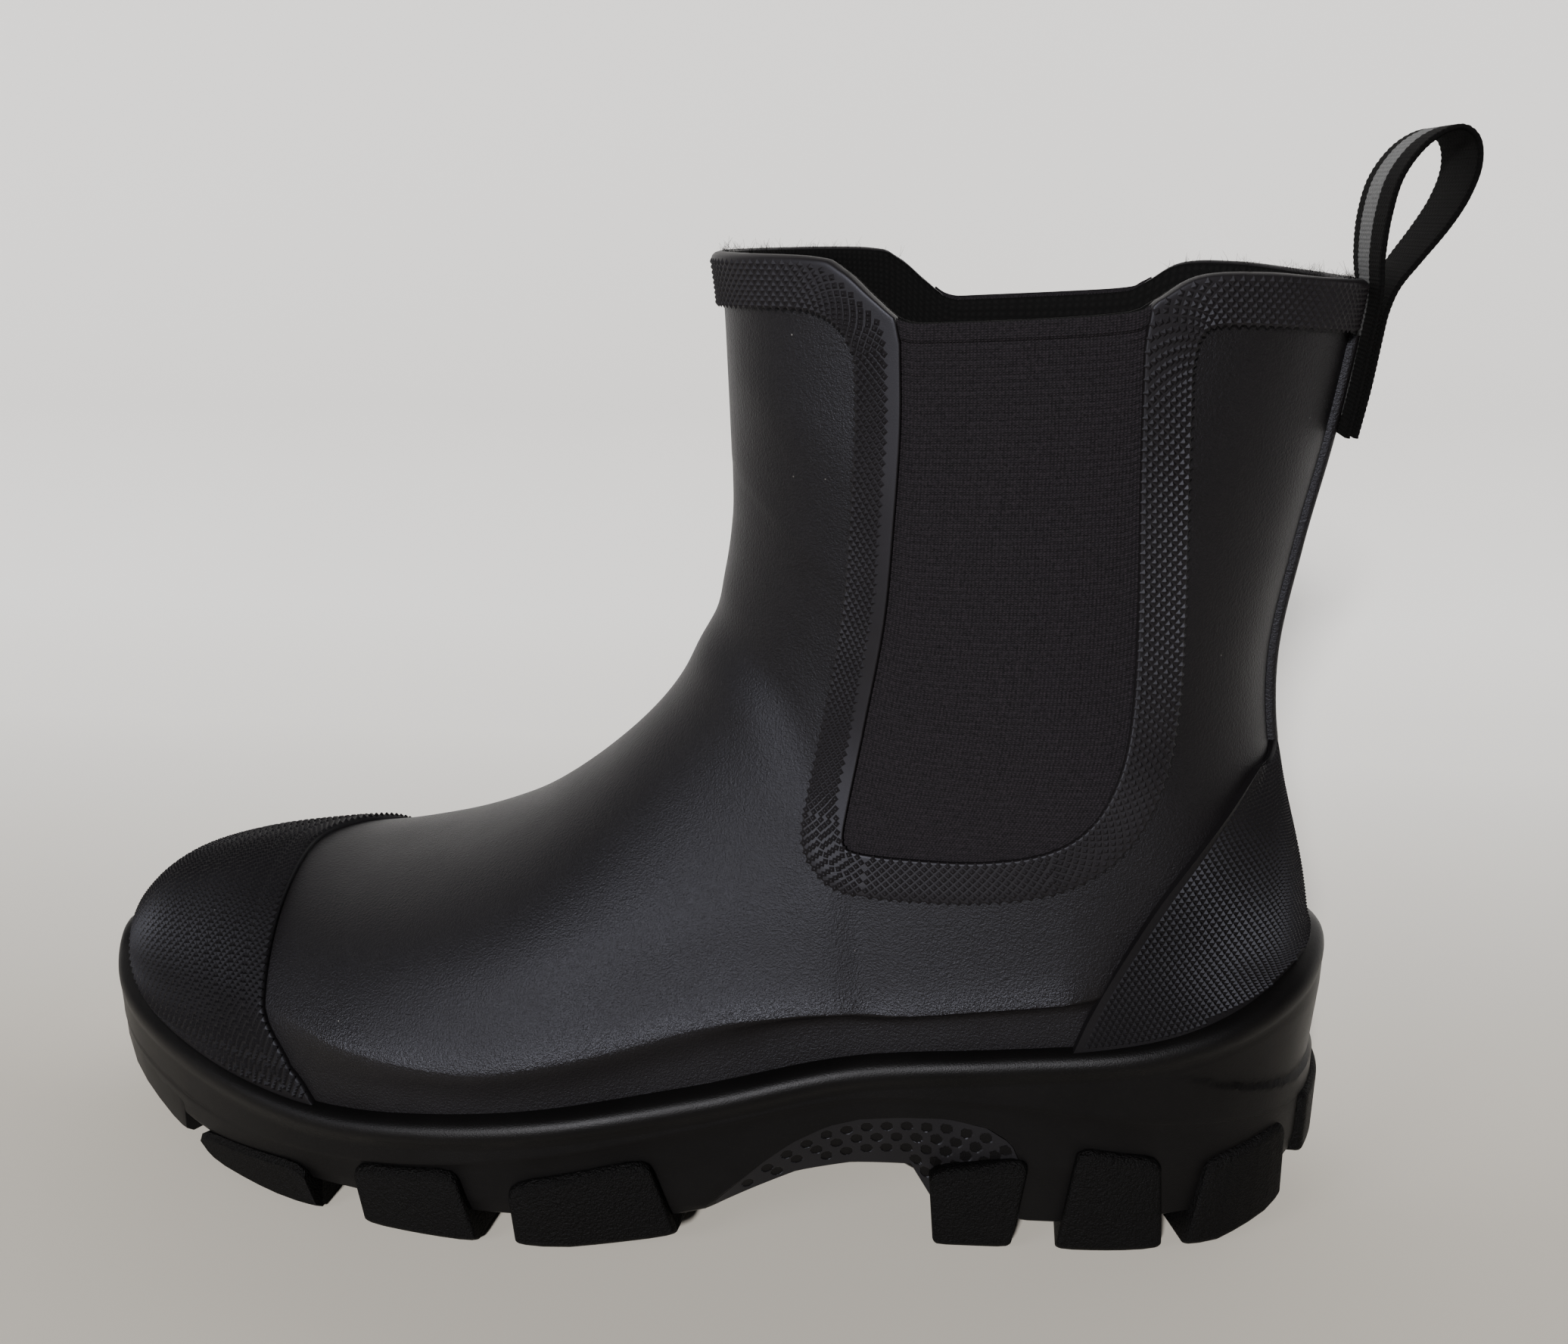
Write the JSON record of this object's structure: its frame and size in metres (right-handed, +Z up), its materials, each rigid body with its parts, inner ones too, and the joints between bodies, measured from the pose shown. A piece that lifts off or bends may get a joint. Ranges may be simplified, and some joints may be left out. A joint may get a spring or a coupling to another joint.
{
  "type": "rain boot",
  "caption": "Black rubber ankle rain boot for the left foot, with elastic side gores, textured toe and heel guards, a webbing pull loop and a chunky lugged sole.",
  "frame": {"origin": "middle of the boot's overall length and width, on the plane the tread stands on", "axes": "+X runs from the toe to the heel, +Y from the outer (lateral) to the inner (medial) side, +Z up"},
  "size_m": [0.2932, 0.1062, 0.2181],
  "materials": {
    "upper_rubber": "satin, fine pebble grain",
    "trim_rubber": "matte with small raised pyramids",
    "sole_rubber": "satin walls, matte pebbled lugs",
    "gore_elastic": "ribbed knitted elastic",
    "webbing": "woven webbing with a grey stripe",
    "insole_foam": "fabric-faced foam"
  },
  "bodies": {
    "root": {"sole": "sole_rubber", "upper": "upper_rubber", "gore_lateral": "gore_elastic", "gore_medial": "gore_elastic", "trim_band": "trim_rubber", "heel_counter": "trim_rubber", "back_strip": "trim_rubber", "toe_cap": "trim_rubber", "insole": "insole_foam", "pull_loop": "webbing"}
  },
  "joints": []
}
